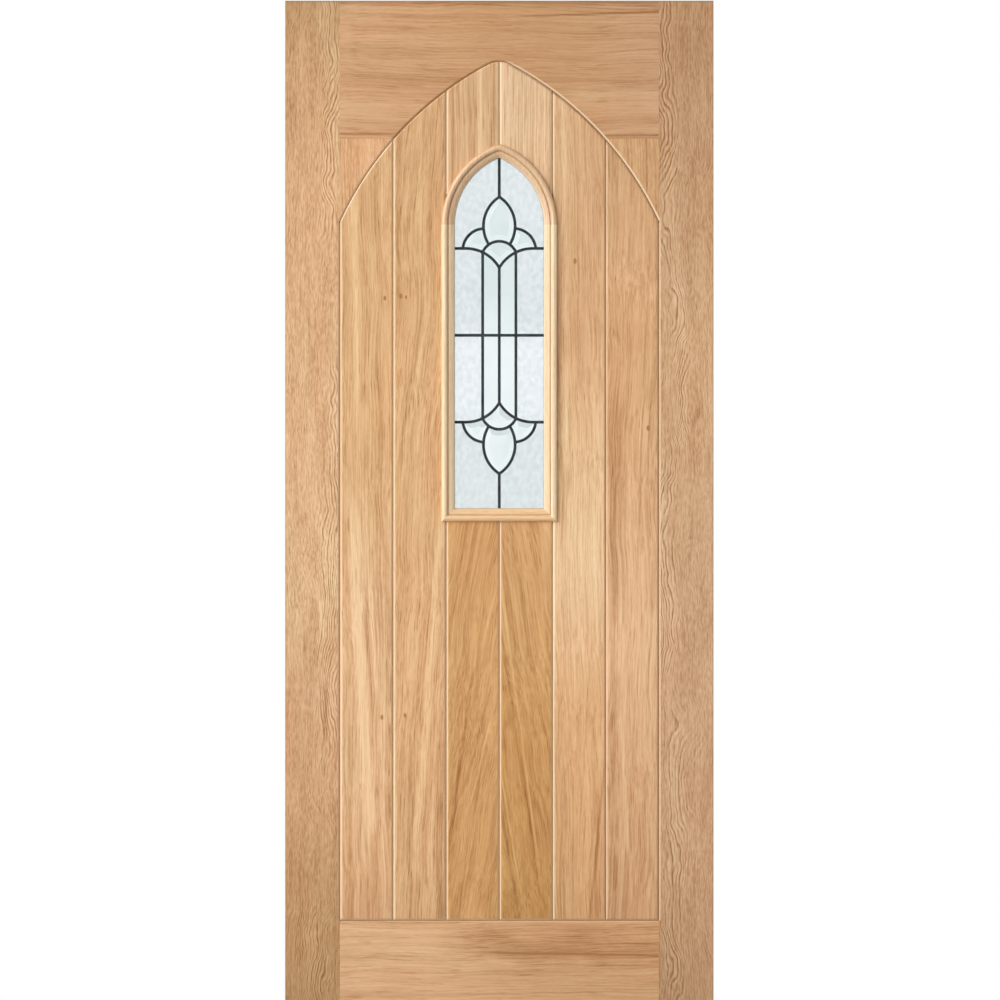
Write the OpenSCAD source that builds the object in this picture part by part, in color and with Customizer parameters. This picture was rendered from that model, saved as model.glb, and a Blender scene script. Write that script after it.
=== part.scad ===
// Arched wooden door leaf: an oak stile and rail frame round a boarded panel with a pointed head,
// and a narrow pointed light glazed with a sealed leaded unit behind planted beads.
// Millimetres. The origin is at the middle of the bottom edge, +Z is up and the front faces -Y.

/* [Leaf] */
// Width of the leaf
leaf_w = 838; // [762:1:914]
// Height of the leaf
leaf_h = 1981; // [1900:1:2135]
// Thickness of the leaf
leaf_t = 44; // [42:1:54]
// Width of each stile
stile_w = 107; // [95:1:120]
// Height of the top rail at its ends
top_rail_h = 270; // [240:1:300]
// Height of the bottom rail
bottom_rail_h = 182; // [150:1:240]
// Bevel on the long outer edges of the stiles
arris = 1; // [0.5:0.1:3]

/* [Dowels] */
// Diameter of the dowels in the rail joints
dowel_d = 12; // [8:1:16]
// Length of the dowels in the rail joints
dowel_l = 100; // [60:5:140]
// Length of the dowels in the spandrel joints
short_dowel_l = 50; // [30:5:70]

/* [Panel arch] */
// Radius of each side of the panel's pointed head
arch_r = 660; // [560:1:760]
// How far the feet of the arch lie below the top of the leaf
arch_drop = 432; // [400:1:460]
// Height of the top rail over the arch's point
head_h = 119; // [100:1:140]
// Radius that rounds off the point
arch_tip_r = 48; // [20:1:70]

/* [Boarding] */
// Thickness of the core between the two faces of boards
core_t = 16; // [12:1:20]
// How far the core runs into the groove of the frame
core_tongue = 10; // [6:1:14]
// Width of the V grooves at the face
groove_w = 7; // [3:0.1:8]
// How far each board's tongue runs into the next board
tongue_l = 7; // [4:0.5:9]
// Thickness of each board's tongue
tongue_t = 4.6; // [3:0.1:6]

/* [Light] */
// How far the springing of the light's head lies below the top of the leaf
light_drop = 438; // [400:1:470]
// Height of the light's straight sides
light_side_h = 555; // [500:1:650]
// Height of the light's point over its springing
light_rise = 130.5; // [100:0.5:160]
// How far the opening in the boards runs behind the glass line
edge_cover = 17; // [14:0.5:19]

/* [Glazing bead] */
// Width of the bead on the face
bead_w = 26; // [24:0.5:32]
// How far the bead stands out from the face
bead_rise = 8.5; // [7:0.5:12]
// Width of the inner hollow-backed round, from the glass line to the quirk
ovolo_w = 12; // [9:0.5:13]
// Height of the inner round above the face
ovolo_rise = 3.5; // [2:0.5:5]
// Fall of the inner round to the glass line
ovolo_fall = 7; // [5:0.5:9]
// Width of the quirk between the two rounds
quirk_w = 1.5; // [1:0.1:3]
// Height of the quirk's floor above the face
quirk_rise = 1; // [0.5:0.1:2]

/* [Sealed unit] */
// Thickness of the sealed unit
unit_t = 28; // [24:1:30]
// Thickness of each outer pane
pane_t = 4; // [3:0.5:6]
// How far the unit runs behind the glass line
unit_cover = 13; // [12:0.5:13.5]
// Thickness of the glazing tape
tape_t = 1.5; // [1:0.1:3]
// How far the tape is set back from the glass line
tape_set = 3; // [1:0.5:5]
// Width of the glazing tape
tape_w = 9; // [6:0.5:9.5]
// Length of each setting block under the unit
block_l = 60; // [40:1:70]

/* [Leaded panel] */
// Face width of the cames
came_w = 5.6; // [4:0.1:7]
// Thickness of the came's heart between two pieces of glass
heart_t = 1.5; // [1:0.1:2]
// Thickness of the came's flanges
flange_t = 0.9; // [0.6:0.1:1.5]
// Thickness of the leaded glass
glass_t = 4; // [3:0.5:5]
// Width of the bevel on the clear pieces
bevel_w = 9; // [5:0.5:12]
// How far a bevelled piece rises above its rim
bevel_rise = 1.5; // [1:0.1:3]
// How far the middle of the border came lies behind the glass line
border_cover = 7; // [5:0.5:9]
// How far the cross bar lies below the middle of the light's height
mid_bar_set = 4.2; // [0:0.1:8]
// Distance from the cross bar to each motif's side bars
motif_rise = 170; // [150:1:180]
// Distance from the centre line to each long side came
bar_x = 32.5; // [25:0.5:36]
// Radius of the curve that drops from a side bar to the centre line
sepal_r = 75.5; // [70:0.5:80]
// Distance from the centre line to where that curve starts
sepal_x = 65.5; // [60:0.5:68]
// Radius of the dome over that curve
dome_r = 35.5; // [33:0.5:40]
// How far the dome's centre lies below the side bars
dome_drop = 21.5; // [18:0.5:24]
// Radius of the petal's sides
petal_r = 67.5; // [55:0.5:75]
// Half of the petal's width
petal_half_w = 31; // [26:0.5:33]
// Height of the petal's widest place above the side bars
petal_rise = 44; // [38:0.5:48]
// Radius of the wing beside the petal
wing_r = 43; // [40:0.5:46]
// Distance from the centre line to the wing's centre
wing_x = 28.5; // [26:0.5:31]
// How far the wing's centre lies below the side bars
wing_drop = 4; // [2:0.5:6]

/* [Fits] */
// Clearance of the core in its groove, the tongues, the dowels and the beads
fit = 0.2; // [0.1:0.05:0.4]
// Clearance of the leaded glass in its came
glass_fit = 0.2; // [0.1:0.05:0.3]

/* [Hidden] */
$fn = 144;
// Overrun of every cut past the face that it opens
cut = 1;
// How far a bevel's solid starts inside its rim, so that the two make one
lap = 0.1;
// Setting-out points are rounded to this
snap_step = 0.1;
function snap(length) = round(length / snap_step) * snap_step;

OAK_STILE = "#C49A6C";
OAK_RAIL = "#CFA272";
OAK_SPANDREL = "#DDAF7C";
OAK_BOARDS = ["#D6AB7A", "#D9B07F", "#CB9A62", "#C9985F", "#D8AE7C", "#D5A977"];
OAK_BEAD = "#E6C48F";
OAK_HIDDEN = "#B98F61";
CLEAR_PANE = "#DCE7EA";
BEVEL_GLASS = "#D5E6E2";
TEXTURED_GLASS = "#E4EAEE";
ZINC = "#3D474B";
SPACER_GREY = "#8C9296";
SEAL_BLACK = "#2A2C2E";
TAPE_WHITE = "#E9E4D8";

// Panel and its boards: six boards, the light standing in place of the two middle ones
board_count = 6;
panel_half = leaf_w / 2 - stile_w;
pitch = 2 * panel_half / board_count;
board_t = (leaf_t - core_t) / 2;
groove_half = groove_w / 2;
rail_z = leaf_h - top_rail_h;

// Panel head: the striking point of each side lies arch_r from the side's foot, and from there
// arch_r less arch_tip_r to the centre of the rounded point
foot_to_tip = [panel_half, arch_drop - head_h - arch_tip_r];
tip_far = norm(foot_to_tip);
strike_along = (tip_far ^ 2 + arch_r ^ 2 - (arch_r - arch_tip_r) ^ 2) / (2 * tip_far);
strike_off = sqrt(arch_r ^ 2 - strike_along ^ 2);
strike_x = (strike_along * foot_to_tip.x + strike_off * foot_to_tip.y) / tip_far;
strike_y = (strike_along * foot_to_tip.y - strike_off * foot_to_tip.x) / tip_far;
arch_out = snap(strike_x - panel_half);
arch_z = snap(leaf_h - arch_drop + strike_y);

// Heights in the panel head, measured up from its striking points
arch_tip_y = sqrt((arch_r - arch_tip_r) ^ 2 - arch_out ^ 2);
arch_turn_y = arch_tip_y * arch_r / (arch_r - arch_tip_r);
arch_kink_y = sqrt(arch_r ^ 2 - (panel_half + arch_out) ^ 2);

// Light: the opening's sides are the joints on either side of the two middle boards
light_half = pitch - edge_cover;
light_r = (light_half ^ 2 + light_rise ^ 2) / (2 * light_half);
light_out = light_r - light_half;
light_spring = leaf_h - light_drop;
light_sill = light_spring - light_side_h;

// The upper middle boards stop where the opening's curve leaves them this much wider than a tongue
horn_w = tongue_l + 3 * fit + groove_half;
opening_r = light_r + edge_cover;
upper_start = light_spring + sqrt(opening_r ^ 2 - (opening_r - horn_w) ^ 2);
lower_end = light_sill - edge_cover;

// Bead section
bead_back = (leaf_t - unit_t) / 2 - tape_t;
torus_r = (bead_w - ovolo_w - quirk_w) / 2;
ovolo_r = (ovolo_w ^ 2 + ovolo_fall ^ 2) / (2 * ovolo_fall);

// Leaded panel
channel_h = glass_t + 2 * glass_fit;
came_h = channel_h + 2 * flange_t;
glass_gap = heart_t / 2 + glass_fit;
bevel_gap = came_w / 2 + glass_fit;
mid_bar_z = snap(light_sill + (light_side_h + light_rise) / 2 - mid_bar_set);
petal_out = petal_r - petal_half_w;
sepal_at = [-sepal_x, -sepal_r];
dome_at = [0, -dome_drop];
wing_at = [-wing_x, -wing_drop];

// Where the dowels sit, as shares of each rail's height and of the spandrel's
top_dowel_shares = [0.22, 0.5, 0.78];
bottom_dowel_shares = [0.2, 0.45, 0.7];
spandrel_dowel_share = 0.8;

FACES = ["front", "back"];
LEVELS = ["upper", "lower"];
HANDS = ["left", "right"];
SIDE_GLASS = ["corner", "flank", "wing", "strip"];
MIDDLE_GLASS = ["petal", "dome"];
BEADS = ["arch", "left", "right", "sill"];
BOARDS = ["1", "2", "3_upper", "3_lower", "4_upper", "4_lower", "5", "6"];

function board_node(face, board) = str(FACES[face], "_board_", board);
function bead_node(face, bead) = str(FACES[face], "_bead_", bead);
function side_glass_node(level, hand, kind) = str("glass_", LEVELS[level], "_", HANDS[hand], "_", kind);
function middle_glass_node(level, kind) = str("glass_", LEVELS[level], "_", kind);

// Shapes are drawn flat, as seen from the front, with their thickness towards the viewer

module stand() {
    rotate([90, 0, 0]) children();
}

module flip(turn) {
    if (turn) mirror([0, 0, 1]) children();
    else children();
}

module swap_hand(turn) {
    if (turn) mirror([1, 0, 0]) children();
    else children();
}

module slab(z0, z1) {
    translate([0, 0, z0]) linear_extrude(z1 - z0) children();
}

module box_2d(x0, x1, y0, y1) {
    translate([x0, y0]) square([x1 - x0, y1 - y0]);
}

// The boarded panel's outline, grown all round
module panel_2d(grow = 0) {
    half = panel_half + grow;
    r = arch_r + grow;
    tip_r = arch_tip_r + grow;
    turn_y = arch_tip_y * r / (r - tip_r);
    translate([0, arch_z]) {
        box_2d(-half, half, bottom_rail_h - grow - arch_z, 0);
        intersection() {
            translate([arch_out, 0]) circle(r);
            translate([-arch_out, 0]) circle(r);
            box_2d(-half, half, 0, turn_y);
        }
        intersection() {
            translate([0, arch_tip_y]) circle(tip_r);
            box_2d(-tip_r, tip_r, turn_y, arch_tip_y + tip_r);
        }
    }
}

// The light's outline, grown all round from the glass line
module light_2d(grow = 0) {
    half = light_half + grow;
    r = light_r + grow;
    translate([0, light_spring]) {
        box_2d(-half, half, -light_side_h - grow, 0);
        intersection() {
            translate([light_out, 0]) circle(r);
            translate([-light_out, 0]) circle(r);
            box_2d(-r, r, 0, r);
        }
    }
}

// A V groove's section, with its point in the wood and its mouth past the front face
module groove_2d() {
    face = leaf_t / 2;
    polygon([
        [-groove_half - cut, face + cut],
        [0, face - groove_half],
        [groove_half + cut, face + cut]
    ]);
}

module upright_groove(x, y0, y1) {
    translate([x, y0, 0]) rotate([-90, 0, 0]) linear_extrude(y1 - y0) mirror([0, 1]) groove_2d();
}

module ring_groove(r) {
    rotate_extrude() translate([r, 0]) groove_2d();
}

// The groove round the boarded panel, on the front face
module panel_groove() {
    for (side = [0, 1]) swap_hand(side) {
        upright_groove(-panel_half, bottom_rail_h, arch_z + arch_kink_y);
        translate([0, arch_z, 0]) intersection() {
            translate([arch_out, 0, 0]) ring_groove(arch_r);
            slab(0, leaf_t) box_2d(-panel_half - groove_w, 0, arch_kink_y, arch_turn_y);
        }
    }
    translate([0, arch_z, 0]) intersection() {
        translate([0, arch_tip_y, 0]) ring_groove(arch_tip_r);
        slab(0, leaf_t) box_2d(-arch_tip_r, arch_tip_r, arch_turn_y, arch_tip_y + arch_tip_r + groove_w);
    }
    translate([-panel_half, bottom_rail_h, 0]) rotate([0, 0, -90]) upright_groove(0, 0, 2 * panel_half);
}

module panel_grooves() {
    for (back = [0, 1]) flip(back) panel_groove();
}

// The groove in the frame that takes the edge of the core
module core_slot() {
    slab(-core_t / 2 - fit, core_t / 2 + fit) panel_2d(core_tongue + fit);
}

module frame_cuts() {
    stand() core_slot();
    stand() panel_grooves();
    dowel_set(fit);
}

// Dowels across the joint on one hand, from the bottom rail up to the top rail
module dowel_row(spare) {
    for (share = top_dowel_shares) dowel(rail_z + share * top_rail_h, dowel_l, spare);
    for (share = bottom_dowel_shares) dowel(share * bottom_rail_h, dowel_l, spare);
    spandrel_z = arch_z + arch_kink_y;
    dowel(spandrel_z + spandrel_dowel_share * (rail_z - spandrel_z), short_dowel_l, spare);
}

module dowel(z, length, spare) {
    translate([-panel_half, 0, z]) rotate([0, 90, 0])
        cylinder(h = length + 2 * spare, d = dowel_d + 2 * spare, center = true);
}

module dowel_set(spare) {
    for (side = [0, 1]) swap_hand(side) dowel_row(spare);
}

module dowels() {
    color(OAK_HIDDEN) dowel_set(0);
}

module stile() {
    color(OAK_STILE) difference() {
        linear_extrude(leaf_h) polygon([
            [-leaf_w / 2, -leaf_t / 2 + arris],
            [-leaf_w / 2 + arris, -leaf_t / 2],
            [-panel_half, -leaf_t / 2],
            [-panel_half, leaf_t / 2],
            [-leaf_w / 2 + arris, leaf_t / 2],
            [-leaf_w / 2, leaf_t / 2 - arris]
        ]);
        frame_cuts();
    }
}

module top_rail() {
    color(OAK_RAIL) difference() {
        translate([-panel_half, -leaf_t / 2, rail_z]) cube([2 * panel_half, leaf_t, top_rail_h]);
        stand() slab(-leaf_t, leaf_t) panel_2d();
        frame_cuts();
    }
}

module bottom_rail() {
    color(OAK_RAIL) difference() {
        translate([-panel_half, -leaf_t / 2, 0]) cube([2 * panel_half, leaf_t, bottom_rail_h]);
        frame_cuts();
    }
}

// Fills the corner between the stile, the top rail and the panel's arch
module spandrel() {
    foot_z = arch_z + arch_kink_y;
    color(OAK_SPANDREL) difference() {
        translate([-panel_half, -leaf_t / 2, foot_z]) cube([panel_half, leaf_t, rail_z - foot_z]);
        stand() slab(-leaf_t, leaf_t) panel_2d();
        frame_cuts();
    }
}

module core_panel() {
    color(OAK_HIDDEN) stand() slab(-core_t / 2, core_t / 2) difference() {
        panel_2d(core_tongue);
        light_2d(edge_cover);
    }
}

// A stretch of boarding between two joints and two heights, inside the panel's outline
module board_area_2d(x0, x1, y0, y1) {
    intersection() {
        box_2d(x0, x1, y0, y1);
        panel_2d();
    }
}

// The heights at which a board, or its joint with the next one, has wood on both sides
function whole_run() = [[bottom_rail_h, leaf_h]];
function upper_run() = [[upper_start, leaf_h]];
function lower_run() = [[bottom_rail_h, lower_end]];

module board(index, runs, joint_runs) {
    x0 = -panel_half + index * pitch;
    x1 = x0 + pitch;
    tongue_z = (core_t + leaf_t) / 4;
    first = index == 0;
    last = index == board_count - 1;
    color(OAK_BOARDS[index]) stand() difference() {
        union() {
            for (run = runs) slab(core_t / 2, leaf_t / 2) board_area_2d(x0, x1, run[0], run[1]);
            if (!last) for (run = joint_runs)
                slab(tongue_z - tongue_t / 2, tongue_z + tongue_t / 2)
                    board_area_2d(x1, x1 + tongue_l, run[0], run[1]);
        }
        if (!first) slab(tongue_z - tongue_t / 2 - fit, tongue_z + tongue_t / 2 + fit)
            box_2d(x0 - cut, x0 + tongue_l + fit, 0, leaf_h);
        if (!first) upright_groove(x0, 0, leaf_h);
        if (!last) upright_groove(x1, 0, leaf_h);
        panel_groove();
        slab(0, leaf_t) light_2d(edge_cover);
    }
}

module board_by_name(name) {
    split_runs = concat(lower_run(), upper_run());
    if (name == "1") board(0, whole_run(), whole_run());
    if (name == "2") board(1, whole_run(), split_runs);
    if (name == "3_upper") board(2, upper_run(), upper_run());
    if (name == "3_lower") board(2, lower_run(), lower_run());
    if (name == "4_upper") board(3, upper_run(), upper_run());
    if (name == "4_lower") board(3, lower_run(), lower_run());
    if (name == "5") board(4, whole_run(), whole_run());
    if (name == "6") board(5, whole_run(), whole_run());
}

// The bead's section: across from the glass line, and up from the middle of the leaf
module bead_2d() {
    lip_x = ovolo_w + quirk_w;
    crown_y = bead_rise - torus_r;
    translate([0, leaf_t / 2]) {
        intersection() {
            translate([ovolo_w, ovolo_rise - ovolo_r]) circle(ovolo_r);
            box_2d(0, ovolo_w, -bead_back, ovolo_rise);
        }
        box_2d(ovolo_w, edge_cover - fit, -bead_back, 0);
        box_2d(ovolo_w, lip_x, 0, quirk_rise);
        box_2d(lip_x, bead_w, 0, crown_y);
        intersection() {
            translate([lip_x + torus_r, crown_y]) circle(torus_r);
            box_2d(lip_x, bead_w, crown_y, bead_rise);
        }
    }
}

// The bead round the pointed head: two arcs, and between them a turn about the glass line's point
module bead_arch() {
    point = [0, light_rise];
    past = point + (point - [light_out, 0]);
    for (side = [0, 1]) swap_hand(side) translate([0, light_spring, 0]) intersection() {
        translate([light_out, 0, 0]) rotate_extrude() translate([light_r, 0]) bead_2d();
        slab(0, leaf_t) polygon([
            [light_out, 0],
            past,
            [-light_half - bead_w - cut, past.y],
            [-light_half - bead_w - cut, 0]
        ]);
    }
    translate([0, light_spring, 0]) intersection() {
        translate([point.x, point.y, 0]) rotate_extrude() bead_2d();
        slab(0, leaf_t) polygon([point, past, [-past.x, past.y]]);
    }
}

module bead_length(length) {
    rotate([90, 0, 0]) linear_extrude(length, center = true) bead_2d();
}

// One upright bead, with a mitre at the sill
module bead_upright() {
    intersection() {
        translate([-light_half, light_sill + light_side_h / 2, 0]) rotate([0, 0, 180])
            bead_length(light_side_h + 2 * bead_w);
        slab(0, leaf_t) polygon([
            [-light_half, light_sill],
            [-light_half, light_spring],
            [-light_half - bead_w, light_spring],
            [-light_half - bead_w, light_sill - bead_w]
        ]);
    }
}

module bead_sill() {
    intersection() {
        translate([0, light_sill, 0]) rotate([0, 0, -90]) bead_length(2 * (light_half + bead_w));
        slab(0, leaf_t) polygon([
            [-light_half, light_sill],
            [light_half, light_sill],
            [light_half + bead_w, light_sill - bead_w],
            [-light_half - bead_w, light_sill - bead_w]
        ]);
    }
}

module bead_by_name(name) {
    color(OAK_BEAD) stand() {
        if (name == "arch") bead_arch();
        if (name == "left") bead_upright();
        if (name == "right") swap_hand(true) bead_upright();
        if (name == "sill") bead_sill();
    }
}

// A flat frame that follows the light's outline between two distances from the glass line
module light_ring_2d(inner, outer) {
    difference() {
        light_2d(outer);
        light_2d(inner);
    }
}

module glazing_tapes() {
    color(TAPE_WHITE) stand() for (back = [0, 1]) flip(back)
        slab(unit_t / 2, unit_t / 2 + tape_t) light_ring_2d(tape_set, tape_set + tape_w);
}

module pane() {
    color(CLEAR_PANE) stand() slab(unit_t / 2 - pane_t, unit_t / 2) light_2d(unit_cover);
}

module spacer_bars() {
    color(SPACER_GREY) stand() for (back = [0, 1]) flip(back)
        slab(came_h / 2, unit_t / 2 - pane_t)
            light_ring_2d(border_cover - came_w / 2, border_cover + came_w / 2);
}

module edge_seal() {
    color(SEAL_BLACK) stand() slab(pane_t - unit_t / 2, unit_t / 2 - pane_t)
        light_ring_2d(border_cover + came_w / 2, unit_cover);
}

module setting_blocks() {
    color(SEAL_BLACK) stand() for (side = [0, 1]) swap_hand(side)
        slab(-unit_t / 2, unit_t / 2)
            box_2d(-light_half, block_l - light_half, lower_end, light_sill - unit_cover);
}

// Leaded glass. A layer is two heights and how far the shape keeps from its came lines at each
function layer(z0, z1, gap0, gap1) = [z0, z1, gap0, gap1];
function flat_layer(z0, z1, gap) = layer(z0, z1, gap, gap);
// The same layer seen from the other side of a came line, run past both heights to cut with
function beyond(t) = let (slope = (t[3] - t[2]) / (t[1] - t[0]))
    layer(t[0] - cut, t[1] + cut, slope * cut - t[2], -t[3] - slope * cut);

module disc(at, r, t) {
    translate([at.x, at.y, t[0]]) cylinder(h = t[1] - t[0], r1 = r - t[2], r2 = r - t[3]);
}

// Everything to the left of the line x = 0, within the light's own reach
module left_of(t) {
    reach = light_side_h;
    rotate([90, 0, 0]) linear_extrude(2 * reach, center = true)
        polygon([[-reach, t[0]], [-t[2], t[0]], [-t[3], t[1]], [-reach, t[1]]]);
}

module above(t) {
    rotate([0, 0, -90]) left_of(t);
}

module below(t) {
    rotate([0, 0, 90]) left_of(t);
}

// Under a side bar and the curve that it runs into
module under_sepal(t) {
    plain = flat_layer(t[0], t[1], 0);
    disc(sepal_at, sepal_r, t);
    translate([0, -sepal_r, 0]) below(plain);
}

module petal_lens(t) {
    intersection() {
        disc([petal_out, petal_rise], petal_r, t);
        disc([-petal_out, petal_rise], petal_r, t);
    }
}

module petal(t) {
    difference() {
        petal_lens(t);
        disc(dome_at, dome_r, beyond(t));
    }
}

module dome(t) {
    difference() {
        disc(dome_at, dome_r, t);
        for (side = [0, 1]) swap_hand(side) disc(sepal_at, sepal_r, beyond(t));
    }
}

module wing(t) {
    difference() {
        disc(wing_at, wing_r, t);
        disc(sepal_at, sepal_r, beyond(t));
        disc(dome_at, dome_r, beyond(t));
        petal_lens(beyond(t));
    }
}

module strip(t) {
    intersection() {
        left_of(t);
        translate([-bar_x, 0, 0]) mirror([1, 0, 0]) left_of(t);
        translate([0, -motif_rise, 0]) above(t);
        under_sepal(t);
    }
}

// Under the straight side bar, outside the long side came
module flank(t) {
    plain = flat_layer(t[0], t[1], 0);
    intersection() {
        translate([-bar_x, 0, 0]) left_of(t);
        translate([0, -motif_rise, 0]) above(t);
        union() {
            under_sepal(t);
            intersection() {
                translate([-sepal_x, 0, 0]) left_of(plain);
                below(t);
            }
        }
    }
}

// Over the side bar, outside the wing and the petal
module corner(t) {
    difference() {
        intersection() {
            left_of(t);
            above(t);
        }
        disc(wing_at, wing_r, beyond(t));
        petal_lens(beyond(t));
    }
}

// Puts a shape drawn from the side bar's height into the upper or the lower motif
module motif(level) {
    if (level == 0) translate([0, mid_bar_z + motif_rise, 0]) children();
    else translate([0, mid_bar_z - motif_rise, 0]) mirror([0, 1, 0]) children();
}

module in_border(t) {
    intersection() {
        slab(t[0], t[1]) light_2d(border_cover - t[2]);
        children();
    }
}

module side_area(level, hand, kind, t) {
    if (kind == "corner") in_border(t) motif(level) swap_hand(hand) corner(t);
    if (kind == "flank") in_border(t) motif(level) swap_hand(hand) flank(t);
    if (kind == "wing") motif(level) swap_hand(hand) wing(t);
    if (kind == "strip") motif(level) swap_hand(hand) strip(t);
}

module middle_area(level, kind, t) {
    if (kind == "petal") motif(level) petal(t);
    if (kind == "dome") motif(level) dome(t);
}

function rim_layer() = flat_layer(-glass_t / 2, glass_t / 2, glass_gap);
function bevel_layer() = let (slope = bevel_w / bevel_rise)
    layer(glass_t / 2 - lap, glass_t / 2 + bevel_rise, bevel_gap - slope * lap, bevel_gap + bevel_w);

module side_glass(level, hand, kind) {
    bevelled = kind == "wing" || kind == "strip";
    color(bevelled ? BEVEL_GLASS : TEXTURED_GLASS) stand() {
        side_area(level, hand, kind, rim_layer());
        if (bevelled) side_area(level, hand, kind, bevel_layer());
    }
}

module middle_glass(level, kind) {
    color(BEVEL_GLASS) stand() {
        middle_area(level, kind, rim_layer());
        middle_area(level, kind, bevel_layer());
    }
}

// One level of the lattice: the border's outline, less every piece of glass
module came_level(z0, z1, gap) {
    t = flat_layer(z0 - cut, z1 + cut, gap);
    difference() {
        slab(z0, z1) light_2d(border_cover + came_w / 2);
        for (level = [0, 1], hand = [0, 1], kind = SIDE_GLASS) side_area(level, hand, kind, t);
        for (level = [0, 1], kind = MIDDLE_GLASS) middle_area(level, kind, t);
    }
}

module came_lattice() {
    color(ZINC) stand() {
        came_level(-channel_h / 2, channel_h / 2, heart_t / 2);
        came_level(channel_h / 2, came_h / 2, came_w / 2);
        came_level(-came_h / 2, -channel_h / 2, came_w / 2);
    }
}

stile();  // left_stile
mirror([1, 0, 0]) stile();  // right_stile
top_rail();
bottom_rail();
spandrel();  // left_spandrel
mirror([1, 0, 0]) spandrel();  // right_spandrel
dowels();
core_panel();
for (face = [0, 1], board = BOARDS)
    mirror([0, face, 0]) board_by_name(board);
for (face = [0, 1], bead = BEADS)
    mirror([0, face, 0]) bead_by_name(bead);
glazing_tapes();
pane();  // front_pane
mirror([0, 1, 0]) pane();  // back_pane
spacer_bars();
edge_seal();
setting_blocks();
came_lattice();
for (level = [0, 1], hand = [0, 1], kind = SIDE_GLASS)
    side_glass(level, hand, kind);
for (level = [0, 1], kind = MIDDLE_GLASS)
    middle_glass(level, kind);
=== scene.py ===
import math
from collections import namedtuple

import bpy
from mathutils import Color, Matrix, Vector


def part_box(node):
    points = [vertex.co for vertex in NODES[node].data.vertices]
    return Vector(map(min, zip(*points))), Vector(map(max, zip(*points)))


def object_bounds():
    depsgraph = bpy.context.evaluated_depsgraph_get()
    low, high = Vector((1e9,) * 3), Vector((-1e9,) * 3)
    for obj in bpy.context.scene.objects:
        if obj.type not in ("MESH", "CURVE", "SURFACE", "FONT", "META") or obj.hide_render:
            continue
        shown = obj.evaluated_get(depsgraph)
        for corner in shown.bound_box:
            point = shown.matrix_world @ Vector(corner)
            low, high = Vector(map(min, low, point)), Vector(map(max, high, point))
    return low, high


# Arched wooden door leaf: the finish of every solid, the light, the floor and the camera.
# Metres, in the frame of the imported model: +Z is up and the front of the leaf faces -Y.

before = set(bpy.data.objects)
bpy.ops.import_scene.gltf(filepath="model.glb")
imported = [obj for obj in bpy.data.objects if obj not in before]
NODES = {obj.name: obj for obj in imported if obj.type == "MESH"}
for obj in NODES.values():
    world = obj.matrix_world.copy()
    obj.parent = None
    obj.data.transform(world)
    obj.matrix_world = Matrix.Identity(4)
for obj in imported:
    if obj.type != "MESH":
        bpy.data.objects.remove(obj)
cad_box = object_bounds()
MM = 0.001

# Sizes that the finishes follow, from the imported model
LEAF_HALF_W = cad_box[1].x
LEAF_H = cad_box[1].z
FACE_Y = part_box("left_stile")[1].y
BOARD_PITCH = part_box("front_board_2")[0].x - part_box("front_board_1")[0].x
RAIL_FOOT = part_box("top_rail")[0].z
LIGHT_FOOT, LIGHT_HEAD = (corner.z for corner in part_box("front_pane"))

# Sizes as the part draws them. The V grooves, which are as wide on either side as they are deep
GROOVE_DEPTH = 3.5 * MM
GROOVE_FLOOR = FACE_Y - GROOVE_DEPTH
# The panel's arch: the radius of its sides, how far beyond the middle and how high they are struck,
# and the height of their feet
ARCH_R = 660 * MM
ARCH_OUT = 288 * MM
ARCH_Z = 1274 * MM
ARCH_FOOT = 1549 * MM
# Its rounded point: radius, height of its centre, and where it takes over from the sides
TIP_R = 48 * MM
TIP_Z = 1814 * MM
TIP_TURN = 1856.4 * MM


# Node helpers

def feed(tree, socket, value):
    """Links value to the socket if it is a socket too, and otherwise sets it there."""
    if isinstance(value, bpy.types.NodeSocket):
        tree.links.new(value, socket)
    else:
        socket.default_value = value


def add(tree, kind, inputs=(), **settings):
    """A new shader node with its settings, and its inputs by name or place."""
    node = tree.nodes.new("ShaderNode" + kind)
    for name, value in settings.items():
        setattr(node, name, value)
    for name, value in dict(inputs).items():
        feed(tree, node.inputs[name], value)
    return node


def maths(tree, operation, *values):
    """One step of arithmetic on plain values."""
    node = add(tree, "Math", enumerate(values), operation=operation)
    return node.outputs[0]


def total(tree, first, *others):
    """The sum of any number of values."""
    for value in others:
        first = maths(tree, "ADD", first, value)
    return first


def vectors(tree, operation, *values):
    """One step of arithmetic on vectors."""
    node = add(tree, "VectorMath", enumerate(values), operation=operation)
    return node.outputs[0]


def fade(tree, value, start, end):
    """Goes smoothly from 0 at start to 1 at end, in whichever order these lie."""
    low, high = min(start, end), max(start, end)
    ends = {"To Min": float(start > end), "To Max": float(start < end)}
    inputs = {"Value": value, "From Min": low, "From Max": high, **ends}
    return add(tree, "MapRange", inputs, interpolation_type="SMOOTHSTEP").outputs[0]


def noise(tree, vector, per_metre, detail):
    """Noise whose grain is so many per metre along X, Y and Z, as its value and its colour."""
    scaled = vectors(tree, "MULTIPLY", vector, per_metre)
    return add(tree, "TexNoise", {"Vector": scaled, "Scale": 1.0, "Detail": detail}).outputs


def swing(tree, vector, per_metre, detail, gain):
    """The same noise as a value about 0."""
    value = noise(tree, vector, per_metre, detail)[0]
    return maths(tree, "MULTIPLY", maths(tree, "SUBTRACT", value, 0.5), gain)


# Where a Mix node keeps its colour sockets
COLOUR_A, COLOUR_B, COLOUR_OUT = 6, 7, 2


def mix_colours(tree, factor, a, b, blend="MIX"):
    """Colour a at factor 0 and b at factor 1."""
    inputs = {0: factor, COLOUR_A: a, COLOUR_B: b}
    node = add(tree, "Mix", inputs, data_type="RGBA", blend_type=blend)
    return node.outputs[COLOUR_OUT]


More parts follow.
